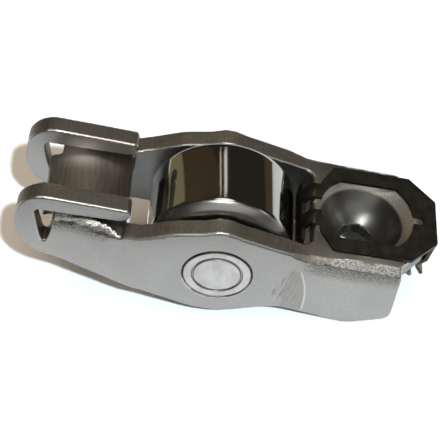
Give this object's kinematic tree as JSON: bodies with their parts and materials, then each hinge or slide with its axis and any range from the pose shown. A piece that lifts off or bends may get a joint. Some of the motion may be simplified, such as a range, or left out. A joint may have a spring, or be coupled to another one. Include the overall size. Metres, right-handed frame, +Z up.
{
  "type": "rocker arm",
  "caption": "Pressed steel roller finger rocker arm with a needle-bearing roller between its walls, a curved valve pad, a ball cup and a spring clip.",
  "frame": {"origin": "centre of the box around the arm, on the flat surface on which it lies on its roller and the feet of its two walls", "axes": "+X along the arm from the valve end to the adjuster end, +Y along the axle to the side away from the viewer, +Z up"},
  "size_m": [0.0476, 0.0162, 0.0192],
  "materials": {
    "arm_steel": "tumbled satin",
    "axle_steel": "ground",
    "roller_steel": "polished",
    "needle_steel": "polished",
    "clip_steel": "black oxide"
  },
  "bodies": {
    "arm": {"arm_body": "arm_steel", "axle_pin": "axle_steel", "retaining_clip": "clip_steel"},
    "roller": {"roller_ring": "roller_steel"},
    "needle_set": {"needle_01": "needle_steel", "needle_02": "needle_steel", "needle_03": "needle_steel", "needle_04": "needle_steel", "needle_05": "needle_steel", "needle_06": "needle_steel", "needle_07": "needle_steel", "needle_08": "needle_steel", "needle_09": "needle_steel", "needle_10": "needle_steel", "needle_11": "needle_steel", "needle_12": "needle_steel", "needle_13": "needle_steel", "needle_14": "needle_steel", "needle_15": "needle_steel"}
  },
  "joints": [
    {"name": "roller_spin", "type": "hinge", "parent": "arm", "child": "roller", "pos_m": [-0.00122, 0, 0.0085], "axis": [0, 1, 0], "continuous": true},
    {"name": "needle_orbit", "type": "hinge", "parent": "arm", "child": "needle_set", "pos_m": [-0.00122, 0, 0.0085], "axis": [0, 1, 0], "continuous": true}
  ],
  "couplings": [
    {"joint": "needle_orbit", "follows": "roller_spin", "ratio": 0.6026}
  ]
}
